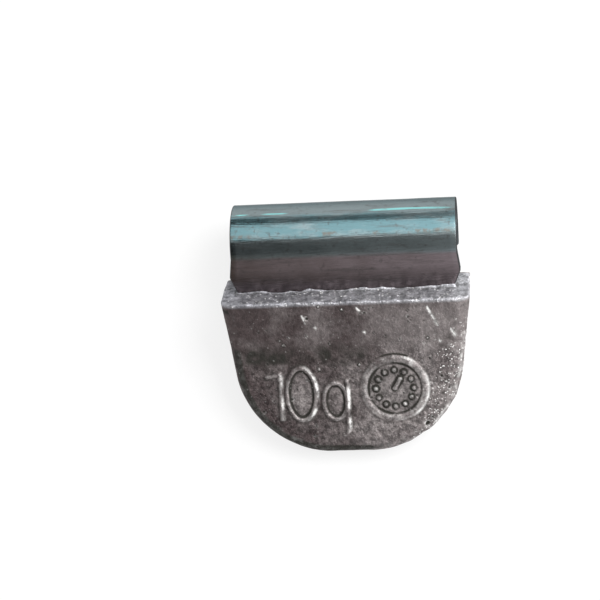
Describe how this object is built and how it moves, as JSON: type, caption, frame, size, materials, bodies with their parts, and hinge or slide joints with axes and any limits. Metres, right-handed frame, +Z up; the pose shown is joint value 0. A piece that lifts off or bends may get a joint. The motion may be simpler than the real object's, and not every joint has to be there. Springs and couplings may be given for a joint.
{
  "type": "wheel balance weight",
  "caption": "Small clip-on wheel balance weight: a wedge-shaped cast body with a flat ledge and a folded spring-steel clip that hooks over the rim flange.",
  "frame": {"origin": "middle of the footprint, on the surface that the weight lies on", "axes": "+X along the rim, +Y from the toe towards the clip's crown, +Z up; the marked face looks up"},
  "size_m": [0.019, 0.0191, 0.0069],
  "materials": {
    "cast_lead_alloy": "as-cast lead alloy, dull dark grey-brown with lighter grey on raised edges",
    "passivated_steel": "bright zinc plate with blue-green clear passivate"
  },
  "bodies": {
    "root": {"cast_body": "cast_lead_alloy", "clip": "passivated_steel"}
  },
  "joints": []
}
